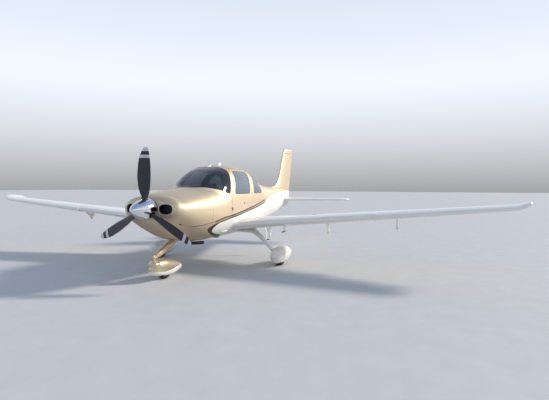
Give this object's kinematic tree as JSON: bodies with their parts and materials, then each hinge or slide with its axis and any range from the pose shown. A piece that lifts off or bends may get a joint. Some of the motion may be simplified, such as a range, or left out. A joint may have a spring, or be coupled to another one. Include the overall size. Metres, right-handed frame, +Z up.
{
  "type": "light aircraft",
  "caption": "Low-wing four-seat light aircraft with fixed tricycle gear, wheel fairings, a nose propeller, two cabin doors and working control surfaces.",
  "frame": {"origin": "on the ground, under the middle of the bounding box", "axes": "+X towards the nose, +Y towards the aircraft's left wing tip, +Z up"},
  "size_m": [7.92, 11.68, 2.715],
  "materials": {
    "gold_paint": "metallic gloss paint on composite",
    "white_paint": "gloss paint on composite",
    "gold_metal": "metallic gloss paint on steel",
    "white_metal": "gloss paint on steel",
    "window": "tinted, clear",
    "lens": "clear",
    "chrome": "polished",
    "blade_paint": "satin black with white tip bands",
    "tyre": "matte",
    "alloy": "satin",
    "engine": "matte",
    "trim": "matte",
    "leather": "satin",
    "steel": "heat-stained"
  },
  "bodies": {
    "airframe": {"cabin_shell": "gold_paint", "tail_cone": "white_paint", "fin": "gold_paint", "upper_cowl": "gold_paint", "lower_cowl": "gold_paint", "engine_block": "engine", "firewall": "alloy", "aft_bulkhead": "trim", "cabin_floor": "trim", "instrument_panel": "trim", "front_seat_left": "leather", "front_seat_right": "leather", "rear_seat": "leather", "windscreen": "window", "rear_window_left": "window", "rear_window_right": "window", "wing": "white_paint", "wing_light_left": "lens", "wing_light_right": "lens", "stabiliser": "white_paint", "exhaust_pipe": "steel", "roof_antenna_front": "white_paint", "roof_antenna_rear": "white_paint", "boarding_step_left": "white_metal", "boarding_step_right": "white_metal", "nose_leg": "gold_metal", "main_leg_left": "white_paint", "main_leg_right": "white_paint", "main_axle_left": "alloy", "main_axle_right": "alloy", "main_fairing_left": "white_paint", "main_fairing_right": "white_paint"},
    "propeller": {"spinner": "chrome", "propeller_hub": "alloy", "propeller_blade_1": "blade_paint", "propeller_blade_2": "blade_paint", "propeller_blade_3": "blade_paint"},
    "nose_castor": {"nose_fork": "gold_metal", "nose_fairing": "gold_paint"},
    "nose_wheel_body": {"nose_tyre": "tyre", "nose_wheel": "alloy"},
    "main_wheel_left_body": {"main_left_tyre": "tyre", "main_left_wheel": "alloy"},
    "main_wheel_right_body": {"main_right_tyre": "tyre", "main_right_wheel": "alloy"},
    "door_left_body": {"door_left": "gold_paint", "door_window_left": "window"},
    "door_right_body": {"door_right": "gold_paint", "door_window_right": "window"},
    "flap_left_body": {"flap_left": "white_paint"},
    "flap_right_body": {"flap_right": "white_paint"},
    "aileron_left_body": {"aileron_left": "white_paint"},
    "aileron_right_body": {"aileron_right": "white_paint"},
    "elevator_body": {"elevator": "white_paint"},
    "rudder_body": {"rudder": "gold_paint"}
  },
  "joints": [
    {"name": "propeller_spin", "type": "hinge", "parent": "airframe", "child": "propeller", "pos_m": [3.615, 0, 1.205], "axis": [1, 0, 0], "continuous": true},
    {"name": "nose_castor_turn", "type": "hinge", "parent": "airframe", "child": "nose_castor", "pos_m": [3.4, 0, 0.35], "axis": [0, 0, 1], "range_deg": [-85, 85]},
    {"name": "nose_wheel_spin", "type": "hinge", "parent": "nose_castor", "child": "nose_wheel_body", "pos_m": [3.093, 0, 0.162], "axis": [0, 1, 0], "continuous": true},
    {"name": "main_wheel_left_spin", "type": "hinge", "parent": "airframe", "child": "main_wheel_left_body", "pos_m": [1.16, 1.41, 0.182], "axis": [0, 1, 0], "continuous": true},
    {"name": "main_wheel_right_spin", "type": "hinge", "parent": "airframe", "child": "main_wheel_right_body", "pos_m": [1.16, -1.41, 0.182], "axis": [0, 1, 0], "continuous": true},
    {"name": "door_left_swing", "type": "hinge", "parent": "airframe", "child": "door_left_body", "pos_m": [1.757, 0.6531, 1.22], "axis": [0, 0.1392, -0.9903], "range_deg": [0, 65]},
    {"name": "door_right_swing", "type": "hinge", "parent": "airframe", "child": "door_right_body", "pos_m": [1.757, -0.6531, 1.22], "axis": [0, 0.1392, 0.9903], "range_deg": [0, 65]},
    {"name": "flap_left_turn", "type": "hinge", "parent": "airframe", "child": "flap_left_body", "pos_m": [0.4637, 0.69, 0.4729], "axis": [-0.1006, -0.9897, -0.1018], "range_deg": [0, 32]},
    {"name": "flap_right_turn", "type": "hinge", "parent": "airframe", "child": "flap_right_body", "pos_m": [0.4637, -0.69, 0.4729], "axis": [0.1006, -0.9897, 0.1018], "range_deg": [0, 32]},
    {"name": "aileron_left_turn", "type": "hinge", "parent": "airframe", "child": "aileron_left_body", "pos_m": [0.7716, 3.72, 1.0663], "axis": [-0.0988, -0.9912, -0.0878], "range_deg": [-12.5, 12.5]},
    {"name": "aileron_right_turn", "type": "hinge", "parent": "airframe", "child": "aileron_right_body", "pos_m": [0.7716, -3.72, 1.0663], "axis": [0.0988, -0.9912, 0.0878], "range_deg": [-12.5, 12.5]},
    {"name": "elevator_turn", "type": "hinge", "parent": "airframe", "child": "elevator_body", "pos_m": [-3.37, 0, 1.202], "axis": [0, 1, 0], "range_deg": [-15, 25]},
    {"name": "rudder_turn", "type": "hinge", "parent": "airframe", "child": "rudder_body", "pos_m": [-3.341, 0, 1.252], "axis": [-0.1775, 0, 0.9841], "range_deg": [-20, 20]}
  ],
  "couplings": [
    {"joint": "flap_right_turn", "follows": "flap_left_turn", "ratio": 1},
    {"joint": "aileron_right_turn", "follows": "aileron_left_turn", "ratio": -1}
  ]
}
